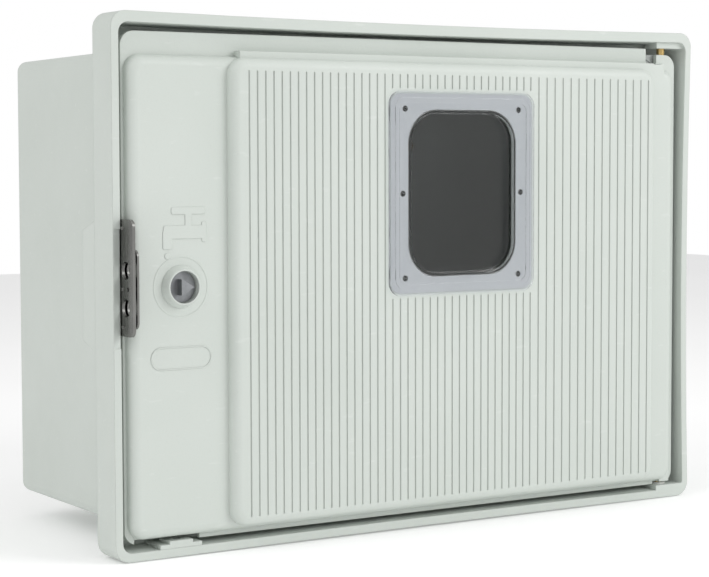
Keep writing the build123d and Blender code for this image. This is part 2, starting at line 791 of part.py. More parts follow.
# ================================================================ window
# Clear moulding: flange with a raised bead, sunken tub with the pane, and six stakes.
flange_seat = -panel_proud - window_gasket_thickness
flange_front = flange_seat - flange_plate
tub_back = flange_front + tub_depth
stake_back = panel_skin_back + 3.5
with BuildPart() as window:
    with BuildSketch(front_plane(flange_seat)):
        with Locations((window_x, window_z)):
            RectangleRounded(window_width, window_height, window_corner_radius)
    extrude(amount=flange_plate)
    with BuildSketch(front_plane(flange_front)):
        with Locations((window_x, window_z)):
            RectangleRounded(
                window_width - 2 * rim_inset, window_height - 2 * rim_inset, window_corner_radius - 2
            )
            RectangleRounded(
                window_width - 2 * (rim_inset + rim_width),
                window_height - 2 * (rim_inset + rim_width),
                window_corner_radius - 4,
                mode=Mode.SUBTRACT,
            )
    extrude(amount=rim_rise)
    with BuildSketch(front_plane(tub_back)):
        with Locations((window_x, window_z)):
            RectangleRounded(
                view_width + 2 * tub_wall, view_height + 2 * tub_wall, view_corner_radius + tub_wall
            )
    extrude(amount=tub_depth)
    with BuildSketch(front_plane(tub_back - glass_thickness)):
        with Locations((window_x, window_z)):
            RectangleRounded(view_width, view_height, view_corner_radius)
    extrude(amount=tub_depth, mode=Mode.SUBTRACT)
    with BuildSketch(front_plane(stake_back)):
        with Locations(*stake_places):
            Circle(stake_radius)
    extrude(amount=stake_back - flange_seat)
window.part.label = "window"
export_step(window.part, "parts/window.step")

# ================================================================ window_push_nuts
# Dished spring steel rings pressed over the stakes behind the panel.
push_nut_radius = 4.6
push_nut_thickness = 0.6
push_nut_rise = 1.0
with BuildPart() as window_push_nuts:
    with BuildSketch(front_plane(panel_skin_back)):
        with Locations(*stake_places):
            Circle(push_nut_radius)
            Circle(stake_radius + stake_clearance, mode=Mode.SUBTRACT)
    extrude(amount=-push_nut_thickness)
    with BuildSketch(front_plane(panel_skin_back + push_nut_thickness)):
        with Locations(*stake_places):
            Circle(stake_radius + 1.2)
            Circle(stake_radius, mode=Mode.SUBTRACT)
    extrude(amount=-push_nut_rise)
window_push_nuts.part.label = "window_push_nuts"
export_step(window_push_nuts.part, "parts/window_push_nuts.step")

# ================================================================ lock_housing
# Moulded bush with a tapered boss in front and a shank through the door's strip.
boss_front = -strip_proud - boss_height
barrel_front = -strip_proud
recess_radius = barrel_radius + boss_recess
shank_back = barrel_front + shank_length
with BuildPart() as lock_housing:
    with BuildSketch(Plane.YX.offset(-lock_z)):
        with BuildLine():
            Polyline(
                (y_at(barrel_front), lock_x + barrel_radius + barrel_clearance),
                (y_at(barrel_front), lock_x + recess_radius),
                (y_at(boss_front), lock_x + recess_radius),
                (y_at(boss_front), lock_x + boss_rim_radius),
                (y_at(boss_front + 1), lock_x + boss_rim_radius + boss_flare / 4),
                (y_at(-strip_proud), lock_x + boss_base_radius),
                (y_at(-strip_proud), lock_x + shank_radius),
                (y_at(shank_back), lock_x + shank_radius),
                (y_at(shank_back), lock_x + barrel_radius + barrel_clearance),
                close=True,
            )
        make_face()
    revolve(axis=Axis((lock_x, 0, lock_z), (0, 1, 0)))
lock_housing.part.label = "lock_housing"
export_step(lock_housing.part, "parts/lock_housing.step")

# ================================================================ lock_nut
# Hexagon nut that draws the housing against the inside of the strip.
with BuildPart() as lock_nut:
    with BuildSketch(front_plane(skin_back)):
        with Locations((lock_x, lock_z)):
            RegularPolygon(shank_radius + nut_rim, 6, major_radius=False)
            Circle(shank_radius, mode=Mode.SUBTRACT)
    extrude(amount=-nut_thickness)
lock_nut.part.label = "lock_nut"
export_step(lock_nut.part, "parts/lock_nut.step")

# ================================================================ lock_barrel
# Die-cast barrel with a triangular key stud in front and a square tang behind.
crank_front = shank_back + crank_gap
crank_back = crank_front + crank_thickness
with BuildPart() as lock_barrel:
    with BuildSketch(front_plane(crank_front)):
        with Locations((lock_x, lock_z)):
            Circle(barrel_radius)
    extrude(amount=crank_front - barrel_front)
    with BuildSketch(front_plane(barrel_front)):
        with Locations((lock_x, lock_z)):
            Circle(barrel_radius + barrel_flange)
    extrude(amount=barrel_flange_thickness)
    with BuildSketch(front_plane(barrel_front - barrel_flange_thickness)):
        with Locations((lock_x, lock_z)):
            RegularPolygon(key_side / sqrt(3), 3)
    extrude(amount=key_height)
    with BuildSketch(front_plane(crank_back)):
        with Locations((lock_x, lock_z)):
            Rectangle(tang_side, tang_side)
    extrude(amount=crank_thickness)
    with BuildSketch(front_plane(crank_back)):
        with Locations((lock_x, lock_z)):
            Circle(crank_screw_radius)
    extrude(amount=crank_screw_length, mode=Mode.SUBTRACT)
lock_barrel.part.label = "lock_barrel"
export_step(lock_barrel.part, "parts/lock_barrel.step")

# ================================================================ lock_crank
# Steel disc on the barrel's tang; its pin drives the bolt through the slot in the bolt's yoke.
crank_pin_x = lock_x + crank_throw * cos(radians(crank_rest_angle))
crank_pin_z = lock_z + crank_throw * sin(radians(crank_rest_angle))
yoke_front = crank_back + crank_screw_head + yoke_gap
yoke_back = yoke_front + yoke_thickness
crank_pin_back = yoke_back + 0.6
with BuildPart() as lock_crank:
    with BuildSketch(front_plane(crank_back)):
        with Locations((lock_x, lock_z)):
            Circle(crank_radius)
            Rectangle(tang_side, tang_side, mode=Mode.SUBTRACT)
    extrude(amount=crank_thickness)
    with BuildSketch(front_plane(crank_pin_back)):
        with Locations((crank_pin_x, crank_pin_z)):
            Circle(crank_pin_radius)
    extrude(amount=crank_pin_back - crank_back)
lock_crank.part.label = "lock_crank"
export_step(lock_crank.part, "parts/lock_crank.step")

# ================================================================ crank_screw
# Pan head screw that holds the crank on the barrel.
with BuildPart() as crank_screw:
    with BuildSketch(front_plane(crank_back)):
        with Locations((lock_x, lock_z)):
            Circle(crank_screw_radius)
    extrude(amount=crank_screw_length)
    with BuildSketch(front_plane(crank_back + crank_screw_head)):
        with Locations((lock_x, lock_z)):
            Circle(crank_screw_head_radius)
            Rectangle(crank_screw_head_radius * 1.2, crank_screw_slot, mode=Mode.SUBTRACT)
    extrude(amount=crank_screw_head)
crank_screw.part.label = "crank_screw"
export_step(crank_screw.part, "parts/crank_screw.step")

# ================================================================ drop_bolt
# Round steel rod that drops into the keeper, pressed into the foot of its yoke.
bolt_tip = floor + keeper_height + bolt_tip_clearance
link_top = lock_z - crank_radius - link_below_crank
link_bottom = link_top - link_height
with BuildPart() as drop_bolt:
    with BuildSketch(Plane.XY.offset(bolt_tip)):
        with Locations((lock_x, y_at(bolt_depth))):
            Circle(bolt_radius)
    extrude(amount=link_bottom + bolt_socket_depth - bolt_tip)
    chamfer(drop_bolt.edges().group_by(Axis.Z)[0], bolt_tip_chamfer)
drop_bolt.part.label = "drop_bolt"
export_step(drop_bolt.part, "parts/drop_bolt.step")

# ================================================================ bolt_yoke
# Moulded yoke on the bolt: a foot bored for the rod, and a plate with the crank pin's slot.
slot_half = crank_pin_radius + slot_clearance
slot_end_gap = 0.6
slot_left = crank_pin_x - crank_pin_radius - slot_end_gap
slot_right = lock_x + crank_throw + crank_pin_radius + slot_end_gap
yoke_left = slot_left - yoke_wall
yoke_right = slot_right + yoke_wall
yoke_top = crank_pin_z + slot_half + yoke_wall
foot_front = bolt_depth - bolt_radius - yoke_wall / 2
with BuildPart() as bolt_yoke:
    with BuildSketch(Plane.XY.offset(link_bottom)):
        with Locations((lock_x, y_at((foot_front + yoke_back) / 2))):
            Rectangle(2 * link_half_width, yoke_back - foot_front)
    extrude(amount=link_height)
    with BuildSketch(front_plane(yoke_back)):
        with BuildLine():
            Polyline(
                (lock_x - link_half_width, link_bottom),
                (lock_x + link_half_width, link_bottom),
                (yoke_right, link_top),
                (yoke_right, yoke_top),
                (yoke_left, yoke_top),
                (yoke_left, link_top),
                (lock_x - link_half_width, link_top),
                close=True,
            )
        make_face()
        with Locations(((slot_left + slot_right) / 2, crank_pin_z)):
            Rectangle(slot_right - slot_left, 2 * slot_half, mode=Mode.SUBTRACT)
    extrude(amount=yoke_thickness)
    with BuildSketch(Plane.XY.offset(link_bottom)):
        with Locations((lock_x, y_at(bolt_depth))):
            Circle(bolt_radius)
    extrude(amount=bolt_socket_depth, mode=Mode.SUBTRACT)
bolt_yoke.part.label = "bolt_yoke"
export_step(bolt_yoke.part, "parts/bolt_yoke.step")

# ================================================================ bolt_guides
# Two plastic blocks on the door's bosses, bored for the bolt.
with BuildPart() as bolt_guides:
    with BuildSketch(front_plane(guide_back)):
        with Locations(*[(lock_x, z) for z in guide_zs]):
            RectangleRounded(guide_width, guide_height, 2)
        with Locations(*guide_screw_places):
            Circle(guide_screw_radius, mode=Mode.SUBTRACT)
    extrude(amount=guide_back - guide_front)
    for guide_z in guide_zs:
        with BuildSketch(Plane.XY.offset(guide_z - guide_height)):
            with Locations((lock_x, y_at(bolt_depth))):
                Circle(bolt_radius + bolt_clearance)
        extrude(amount=2 * guide_height, mode=Mode.SUBTRACT)
bolt_guides.part.label = "bolt_guides"
export_step(bolt_guides.part, "parts/bolt_guides.step")

# ================================================================ guide_screws
# Pan head self-tapping screws that hold the guides.
with BuildPart() as guide_screws:
    with BuildSketch(front_plane(guide_back)):
        with Locations(*guide_screw_places):
            Circle(guide_screw_radius)
    extrude(amount=guide_back - skin_back - 0.2)
    with BuildSketch(front_plane(guide_back)):
        with Locations(*guide_screw_places):
            Circle(2 * guide_screw_radius)
    extrude(amount=-guide_screw_head)
guide_screws.part.label = "guide_screws"
export_step(guide_screws.part, "parts/guide_screws.step")

# ================================================================ frame_padlock_plate
# Pressed steel plate riveted inside the collar, with two padlock holes, a seal hole and three
# pressed pips on its left face.
hasp_hole_zs = (hasp_z - hasp_hole_pitch / 2, hasp_z + hasp_hole_pitch / 2)
frame_plate_z = hasp_z + frame_plate_rise
with BuildPart() as frame_padlock_plate:
    with BuildSketch(Plane.YZ.offset(frame_plate_left)):
        with Locations((y_at((frame_plate_front + frame_plate_back) / 2), frame_plate_z)):
            Rectangle(frame_plate_back - frame_plate_front, frame_plate_height)
    extrude(amount=plate_thickness)
    front_corners = frame_padlock_plate.edges().filter_by(Axis.X).group_by(Axis.Y)[0]
    fillet(front_corners, plate_corner)
    with BuildSketch(Plane.YZ.offset(frame_plate_left)):
        with Locations(*[(y_at(hasp_hole_depth), z) for z in hasp_hole_zs]):
            Circle(hasp_hole_radius)
        with Locations((y_at(seal_hole_depth), hasp_z)):
            Circle(seal_hole_radius)
        with Locations(*[(y_at(frame_rivet_depth), z) for z in frame_rivet_zs]):
            Circle(frame_rivet_radius)
    extrude(amount=plate_thickness, mode=Mode.SUBTRACT)
    for pip_z in frame_rivet_zs:
        with Locations((frame_plate_left, y_at(pip_depth), pip_z)):
            Cylinder(
                pip_radius, pip_height, rotation=(0, -90, 0), align=(Align.CENTER, Align.CENTER, Align.MIN)
            )
    fillet(frame_padlock_plate.edges().group_by(Axis.X)[0], pip_height / 2)
frame_padlock_plate.part.label = "frame_padlock_plate"
export_step(frame_padlock_plate.part, "parts/frame_padlock_plate.step")

# ================================================================ frame_plate_rivets
# Three dome head rivets through the plate into the collar's wall.
frame_plate_right = frame_plate_left + plate_thickness
with BuildPart() as frame_plate_rivets:
    with BuildSketch(Plane.YZ.offset(collar_left + rivet_skin)):
        with Locations(*[(y_at(frame_rivet_depth), z) for z in frame_rivet_zs]):
            Circle(frame_rivet_radius)
    extrude(amount=frame_plate_right - collar_left - rivet_skin)
    with BuildSketch(Plane.YZ.offset(frame_plate_right)):
        with Locations(*[(y_at(frame_rivet_depth), z) for z in frame_rivet_zs]):
            Circle(frame_rivet_radius + rivet_head)
    extrude(amount=rivet_head_height)
    chamfer(frame_plate_rivets.edges().group_by(Axis.X)[-1], 0.5)
frame_plate_rivets.part.label = "frame_plate_rivets"
export_step(frame_plate_rivets.part, "parts/frame_plate_rivets.step")

# ================================================================ door_padlock_plate
# Flat steel plate riveted to the side of the door's rim, its holes in line with the frame's.
door_plate_left = rim_left - door_plate_thickness
with BuildPart() as door_padlock_plate:
    with BuildSketch(Plane.YZ.offset(door_plate_left)):
        with Locations((y_at((door_plate_front + door_plate_back) / 2), hasp_z)):
            Rectangle(door_plate_back - door_plate_front, door_plate_height)
    extrude(amount=door_plate_thickness)
    door_plate_corners = door_padlock_plate.edges().filter_by(Axis.X).group_by(Axis.Y)[0]
    fillet(door_plate_corners, plate_corner)
    with BuildSketch(Plane.YZ.offset(door_plate_left)):
        with Locations(*[(y_at(hasp_hole_depth), z) for z in hasp_hole_zs]):
            Circle(hasp_hole_radius)
        with Locations((y_at(seal_hole_depth), hasp_z)):
            Circle(seal_hole_radius)
        with Locations(*[(y_at(door_plate_rivet_depth), z) for z in door_plate_rivet_zs]):
            Circle(rivet_radius)
    extrude(amount=door_plate_thickness, mode=Mode.SUBTRACT)
door_padlock_plate.part.label = "door_padlock_plate"
export_step(door_padlock_plate.part, "parts/door_padlock_plate.step")

# ================================================================ door_plate_rivets
# Two rivets that clamp the plate to the rim, headed on both sides.
with BuildPart() as door_plate_rivets:
    with BuildSketch(Plane.YZ.offset(door_plate_left - rivet_head_height)):
        with Locations(*[(y_at(door_plate_rivet_depth), z) for z in door_plate_rivet_zs]):
            Circle(rivet_radius + rivet_head)
    extrude(amount=rivet_head_height)
    with BuildSketch(Plane.YZ.offset(door_plate_left)):
        with Locations(*[(y_at(door_plate_rivet_depth), z) for z in door_plate_rivet_zs]):
            Circle(rivet_radius)
    extrude(amount=door_plate_thickness + rim_thickness)
    with BuildSketch(Plane.YZ.offset(rim_left + rim_thickness)):
        with Locations(*[(y_at(door_plate_rivet_depth), z) for z in door_plate_rivet_zs]):
            Circle(rivet_radius + rivet_head)
    extrude(amount=rivet_head_height)
door_plate_rivets.part.label = "door_plate_rivets"
export_step(door_plate_rivets.part, "parts/door_plate_rivets.step")

# ================================================================ upper_hinge_pin
# Brass pin that retracts downwards out of the ledge; its thinner stem carries tab and spring.
pin_top = ledge_bottom + ledge_drop - 0.4
lever_top = upper_knuckle_bottom - lever_gap
lever_bottom = lever_top - lever_thickness
clip_top = guide_bottom - clip_gap
stem_bottom = clip_top - clip_thickness - 1.5
with BuildPart() as upper_hinge_pin:
    with BuildSketch(Plane.XY.offset(lever_top)):
        with Locations((hinge_x, y_at(hinge_depth))):
            Circle(pin_radius)
    extrude(amount=pin_top - lever_top)
    chamfer(upper_hinge_pin.edges().group_by(Axis.Z)[-1], pin_tip_chamfer)
    with BuildSketch(Plane.XY.offset(stem_bottom)):
        with Locations((hinge_x, y_at(hinge_depth))):
            Circle(stem_radius)
    extrude(amount=lever_top - stem_bottom)
upper_hinge_pin.part.label = "upper_hinge_pin"
export_step(upper_hinge_pin.part, "parts/upper_hinge_pin.step")

# ================================================================ hinge_pin_lever
# Folded steel tab on the pin's stem, seen and reached through the notch in the door's edge.
lever_eye_radius = pocket_radius - 0.3
tab_right = knuckle_left - 1.0
tab_left = tab_right - tab_width
tab_front = flange_back + tab_gap
tab_top = door_top - tab_drop
rib_left_top = tab_top - 1.0
rib_right_top = tab_top - 6.0
with BuildPart() as hinge_pin_lever:
    with BuildSketch(Plane.XY.offset(lever_bottom)):
        with Locations((hinge_x, y_at(hinge_depth))):
            Circle(lever_eye_radius)
        with Locations(((tab_left + hinge_x) / 2, y_at(tab_front + lever_eye_radius / 2))):
            Rectangle(hinge_x - tab_left, lever_eye_radius)
        with Locations((hinge_x, y_at(hinge_depth))):
            Circle(stem_radius, mode=Mode.SUBTRACT)
    extrude(amount=lever_thickness)
    with BuildSketch(front_plane(tab_front + tab_thickness)):
        with Locations(((tab_left + tab_right) / 2, (lever_bottom + tab_top) / 2)):
            Rectangle(tab_right - tab_left, tab_top - lever_bottom)
    extrude(amount=tab_thickness)
    # folded grip rib across the tab
    with BuildSketch(front_plane(tab_front)):
        with BuildLine():
            Polyline(
                (notch_left + 1, rib_left_top),
                (notch_left + 1, rib_left_top - 2 * rib_radius),
                (notch_right - 1, rib_right_top - 2 * rib_radius),
                (notch_right - 1, rib_right_top),
                close=True,
            )
        make_face()
    extrude(amount=rib_radius)
hinge_pin_lever.part.label = "hinge_pin_lever"
export_step(hinge_pin_lever.part, "parts/hinge_pin_lever.step")

# ================================================================ hinge_pin_spring
# Compression spring between the guide and the tab, as its outer sleeve.
with BuildPart() as hinge_pin_spring:
    with BuildSketch(Plane.XY.offset(guide_top)):
        with Locations((hinge_x, y_at(hinge_depth))):
            Circle(spring_radius)
            Circle(spring_bore_radius, mode=Mode.SUBTRACT)
    extrude(amount=lever_bottom - guide_top)
hinge_pin_spring.part.label = "hinge_pin_spring"
export_step(hinge_pin_spring.part, "parts/hinge_pin_spring.step")

# ================================================================ hinge_pin_clip
# Spring clip on the stem's end that stops the pin against the guide.
with BuildPart() as hinge_pin_clip:
    with BuildSketch(Plane.XY.offset(clip_top)):
        with Locations((hinge_x, y_at(hinge_depth))):
            Circle(spring_radius)
            Circle(stem_radius, mode=Mode.SUBTRACT)
        with Locations((hinge_x, y_at(hinge_depth + spring_radius))):
            Rectangle(clip_slot, 2 * spring_radius, mode=Mode.SUBTRACT)
    extrude(amount=-clip_thickness)
hinge_pin_clip.part.label = "hinge_pin_clip"
export_step(hinge_pin_clip.part, "parts/hinge_pin_clip.step")

# ================================================================ lower_hinge_pin
# Brass pin pressed into the collar's sill; the door's lower knuckle turns on it.
lower_pin_seat = collar_bottom + 2.4
lower_pin_top = lower_knuckle_top - 2.0
with BuildPart() as lower_hinge_pin:
    with BuildSketch(Plane.XY.offset(lower_pin_seat)):
        with Locations((hinge_x, y_at(hinge_depth))):
            Circle(pin_radius)
    extrude(amount=lower_pin_top - lower_pin_seat)
    chamfer(lower_hinge_pin.edges().group_by(Axis.Z)[-1], pin_tip_chamfer)
lower_hinge_pin.part.label = "lower_hinge_pin"
export_step(lower_hinge_pin.part, "parts/lower_hinge_pin.step")

# ================================================================ hinge_washer
# White nylon washer on the sill that carries the door.
with BuildPart() as hinge_washer:
    with BuildSketch(Plane.XY.offset(sill_top)):
        with Locations((hinge_x, y_at(hinge_depth))):
            Circle(pin_radius + washer_rim)
            Circle(pin_radius, mode=Mode.SUBTRACT)
    extrude(amount=washer_thickness)
hinge_washer.part.label = "hinge_washer"
export_step(hinge_washer.part, "parts/hinge_washer.step")
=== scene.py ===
import math

import bpy
from mathutils import Matrix, Vector


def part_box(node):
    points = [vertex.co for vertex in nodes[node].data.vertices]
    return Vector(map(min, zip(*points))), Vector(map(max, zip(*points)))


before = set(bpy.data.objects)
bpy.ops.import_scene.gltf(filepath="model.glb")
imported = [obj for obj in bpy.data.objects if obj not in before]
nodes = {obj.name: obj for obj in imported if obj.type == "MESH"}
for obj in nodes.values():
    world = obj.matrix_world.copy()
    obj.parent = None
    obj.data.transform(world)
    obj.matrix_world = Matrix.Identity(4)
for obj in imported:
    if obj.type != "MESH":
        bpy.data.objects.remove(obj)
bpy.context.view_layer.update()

# ---------------------------------------------------------------- cabinet box, collar, keeper
# The deep box, the collar round its mouth and the keeper block are one moulding of polyester,
# pressed in a heated mould. It is pale grey all through and satin, with a faint ripple and
# glass fibres just under the skin. Its rolled corners carry a painted highlight, a little lighter in
# patches.
POLYESTER_GREY = (0.600, 0.640, 0.602)
MOULDED_CORNER = 0.0009
SPECKLE_DEPTH = 0.15
# Painted highlight: how much lighter the rolled corners are painted.
PAINTED_CORNER_HIGHLIGHT = 1.18


def noise(tree, at, scale, detail=3.0, roughness=0.5, stretch=None):
    """Noise texture on the piece's own coordinates; returns its factor socket."""
    texture = tree.nodes.new("ShaderNodeTexNoise")
    texture.inputs["Scale"].default_value = scale
    texture.inputs["Detail"].default_value = detail
    texture.inputs["Roughness"].default_value = roughness
    if stretch is None:
        tree.links.new(at, texture.inputs["Vector"])
    else:
        mapping = tree.nodes.new("ShaderNodeMapping")
        mapping.inputs["Scale"].default_value = stretch
        tree.links.new(at, mapping.inputs["Vector"])
        tree.links.new(mapping.outputs["Vector"], texture.inputs["Vector"])
    return texture.outputs["Fac"]


def spread(tree, factor, low, high, to_low=0.0, to_high=1.0):
    """Map Range node from low..high to to_low..to_high; returns its result socket."""
    node = tree.nodes.new("ShaderNodeMapRange")
    node.inputs["From Min"].default_value = low
    node.inputs["From Max"].default_value = high
    node.inputs["To Min"].default_value = to_low
    node.inputs["To Max"].default_value = to_high
    tree.links.new(factor, node.inputs["Value"])
    return node.outputs["Result"]


def blend_colour(tree, factor, first, second, mode="MIX"):
    """Mix of two colours, each a colour or a socket; returns its result socket."""
    node = tree.nodes.new("ShaderNodeMix")
    node.data_type = "RGBA"
    node.blend_type = mode
    tree.links.new(factor, node.inputs["Factor"])
    for socket, value in ((node.inputs[6], first), (node.inputs[7], second)):
        if isinstance(value, bpy.types.NodeSocket):
            tree.links.new(value, socket)
        else:
            socket.default_value = (*value, 1.0)
    return node.outputs[2]


def new_material(name):
    """Empty material with a Principled shader; returns material, tree, shader, coordinates."""
    material = bpy.data.materials.new(name)
    material.use_nodes = True
    tree = material.node_tree
    shader = tree.nodes["Principled BSDF"]
    at = tree.nodes.new("ShaderNodeTexCoord").outputs["Object"]
    return material, tree, shader, at


def rounded_corner(tree, radius):
    """Normal that rolls over the piece's corners, and a mask of those corners."""
    roll = tree.nodes.new("ShaderNodeBevel")
    roll.samples = 6
    roll.inputs["Radius"].default_value = radius
    flat = tree.nodes.new("ShaderNodeNewGeometry")
    likeness = tree.nodes.new("ShaderNodeVectorMath")
    likeness.operation = "DOT_PRODUCT"
    tree.links.new(roll.outputs["Normal"], likeness.inputs[0])
    tree.links.new(flat.outputs["Normal"], likeness.inputs[1])
    corner = spread(tree, likeness.outputs["Value"], 0.98, 0.80)
    return roll.outputs["Normal"], corner


def give_bump(tree, shader, height, strength, distance, normal=None):
    """Bump node from a height socket into the shader's normal."""
    bump = tree.nodes.new("ShaderNodeBump")
    bump.inputs["Strength"].default_value = strength
    bump.inputs["Distance"].default_value = distance
    tree.links.new(height, bump.inputs["Height"])
    if normal is not None:
        tree.links.new(normal, bump.inputs["Normal"])
    tree.links.new(bump.outputs["Normal"], shader.inputs["Normal"])


def moulding_group():
    """Moulded skin: slow drift of shade, buried fibres, speckle, roughness and ripple."""
    group = bpy.data.node_groups.new("moulded_skin", "ShaderNodeTree")
    face = group.interface
    face.new_socket("Vector", in_out="INPUT", socket_type="NodeSocketVector")
    face.new_socket("Tone", in_out="INPUT", socket_type="NodeSocketColor")
    face.new_socket("Shade", in_out="INPUT", socket_type="NodeSocketFloat")
    face.new_socket("Colour", in_out="OUTPUT", socket_type="NodeSocketColor")
    face.new_socket("Roughness", in_out="OUTPUT", socket_type="NodeSocketFloat")
    face.new_socket("Height", in_out="OUTPUT", socket_type="NodeSocketFloat")
    inside = group.nodes.new("NodeGroupInput")
    outside = group.nodes.new("NodeGroupOutput")
    at = inside.outputs["Vector"]
    drift = noise(group, at, 9.0, detail=2.0)
    speckle = noise(group, at, 900.0, detail=2.0)
    fibre = noise(group, at, 240.0, detail=2.0, stretch=(0.25, 1.0, 1.0))
    ripple = noise(group, at, 60.0, detail=3.0, roughness=0.45)
    amount = group.nodes.new("ShaderNodeMath")
    amount.operation = "MULTIPLY"
    group.links.new(spread(group, drift, 0.3, 0.7), amount.inputs[0])
    group.links.new(inside.outputs["Shade"], amount.inputs[1])
    drifted = blend_colour(
        group, amount.outputs[0], inside.outputs["Tone"], (0.93, 0.94, 0.93), "MULTIPLY"
    )
    speckled = blend_colour(
        group, spread(group, speckle, 0.55, 0.75, 0.0, 0.45), drifted, (0.93, 0.93, 0.93), "MULTIPLY"
    )
    threaded = blend_colour(
        group, spread(group, fibre, 0.66, 0.78, 0.0, 0.10), speckled, (1.0, 1.0, 1.0), "MIX"
    )
    group.links.new(threaded, outside.inputs["Colour"])
    group.links.new(spread(group, ripple, 0.3, 0.7, 0.40, 0.53), outside.inputs["Roughness"])
    total = group.nodes.new("ShaderNodeMath")
    total.operation = "MULTIPLY_ADD"
    total.inputs[1].default_value = SPECKLE_DEPTH
    group.links.new(speckle, total.inputs[0])
    group.links.new(ripple, total.inputs[2])
    group.links.new(total.outputs[0], outside.inputs["Height"])
    return group


moulded_skin = moulding_group()


def moulded_plastic(name, tone, shade=0.6, corner_radius=MOULDED_CORNER, corner_highlight=0.35):
    """Satin moulded plastic of one tone, its corners rolled and given a painted highlight, a little
    lighter in patches.
    """
    material, tree, shader, at = new_material(name)
    skin = tree.nodes.new("ShaderNodeGroup")
    skin.node_tree = moulded_skin
    skin.inputs["Tone"].default_value = (*tone, 1.0)
    skin.inputs["Shade"].default_value = shade
    tree.links.new(at, skin.inputs["Vector"])
    normal, corner = rounded_corner(tree, corner_radius)
    # Painted highlight on the rolled corners, broken into patches by this noise.
    highlight_patches = noise(tree, at, 120.0, detail=4.0)
    corner_highlight_mask = tree.nodes.new("ShaderNodeMath")
    corner_highlight_mask.operation = "MULTIPLY"
    tree.links.new(corner, corner_highlight_mask.inputs[0])
    tree.links.new(spread(tree, highlight_patches, 0.35, 0.75, 0.0, corner_highlight), corner_highlight_mask.inputs[1])
    corner_highlight_tone = tuple(min(1.0, PAINTED_CORNER_HIGHLIGHT * part) for part in tone)
    colour = blend_colour(tree, corner_highlight_mask.outputs[0], skin.outputs["Colour"], corner_highlight_tone)
    tree.links.new(colour, shader.inputs["Base Color"])
    tree.links.new(skin.outputs["Roughness"], shader.inputs["Roughness"])
    shader.inputs["Specular IOR Level"].default_value = 0.42
    give_bump(tree, shader, skin.outputs["Height"], 0.22, 0.0004, normal)
    return material


def finish_node(name, material):
    """Gives a carried-over node its material."""
    node = nodes[name]
    node.data.materials.clear()
    node.data.materials.append(material)
    return node


polyester = moulded_plastic("pale_grey_polyester", POLYESTER_GREY)
finish_node("cabinet_box", polyester)
finish_node("cabinet_collar", polyester)
finish_node("keeper_block", polyester)

# ---------------------------------------------------------------- board inserts
# Turned brass inserts with a thread for the meter's bracket, moulded into the four bosses of
# the back wall. The cut faces show fine turning lines.
DULL_METAL = 0.72
# Painted highlight: how much brighter the rolled edges of metal parts are painted.
PAINTED_EDGE_HIGHLIGHT = 1.5


def metal(name, tone, rough_low, rough_high, stretch, bump=0.1, corner_radius=0.0003):
    """Worked metal: grain drawn out along one way, with drifting roughness and tone."""
    material, tree, shader, at = new_material(name)
    grain = noise(tree, at, 400.0, detail=4.0, stretch=stretch)
    drift = noise(tree, at, 35.0, detail=3.0)
    darker = tuple(DULL_METAL * part for part in tone)
    mixed = blend_colour(tree, spread(tree, drift, 0.35, 0.7), tone, darker)
    normal, corner = rounded_corner(tree, corner_radius)
    # Painted highlight along the rolled edges, up to 0.7 of the way to the brighter tone.
    edge_highlight_tone = tuple(min(1.0, PAINTED_EDGE_HIGHLIGHT * part) for part in tone)
    edge_highlighted = blend_colour(tree, spread(tree, corner, 0.0, 1.0, 0.0, 0.7), mixed, edge_highlight_tone)
    tree.links.new(edge_highlighted, shader.inputs["Base Color"])
    tree.links.new(spread(tree, grain, 0.3, 0.7, rough_low, rough_high), shader.inputs["Roughness"])
    shader.inputs["Metallic"].default_value = 1.0
    give_bump(tree, shader, grain, bump, 0.0001, normal)
    return material


turned_brass = metal(
    "turned_brass", (0.83, 0.60, 0.25), rough_low=0.16, rough_high=0.30, stretch=(0.1, 0.1, 1.0)
)
finish_node("board_inserts", turned_brass)

# ---------------------------------------------------------------- pipe grommets
# Black rubber grommets pressed into the two pipe entries in the bottom of the box. Their skin
# is dull, with the dusty bloom that rubber gets.
bloomed_rubber = moulded_plastic(
    "bloomed_rubber", (0.030, 0.030, 0.032), shade=0.5, corner_radius=0.0006, corner_highlight=0.15
)
finish_node("pipe_grommets", bloomed_rubber)

# ---------------------------------------------------------------- door
# The door is a second moulding of the same polyester, with a ribbed panel, the raised strip
# for lock and hinges and a closing rim behind. It comes out of the mould a shade lighter.
DOOR_GREY = (0.612, 0.652, 0.614)
door_polyester = moulded_plastic("door_polyester", DOOR_GREY)
finish_node("door_panel", door_polyester)

# ---------------------------------------------------------------- window gasket
# Sheet of closed cell foam, cut round the window opening. It is squeezed flat between the
# window's flange and the panel, and is about the panel's grey.
foam = moulded_plastic(
    "squeezed_foam", (0.60, 0.62, 0.63), shade=0.8, corner_radius=0.0004, corner_highlight=0.0
)
finish_node("window_gasket", foam)

# ---------------------------------------------------------------- window
# Clear polycarbonate moulding with a raised bead round its flange and a sunken pane, held by
# six stakes. The plastic is very slightly smoky and has a faint haze of handling.


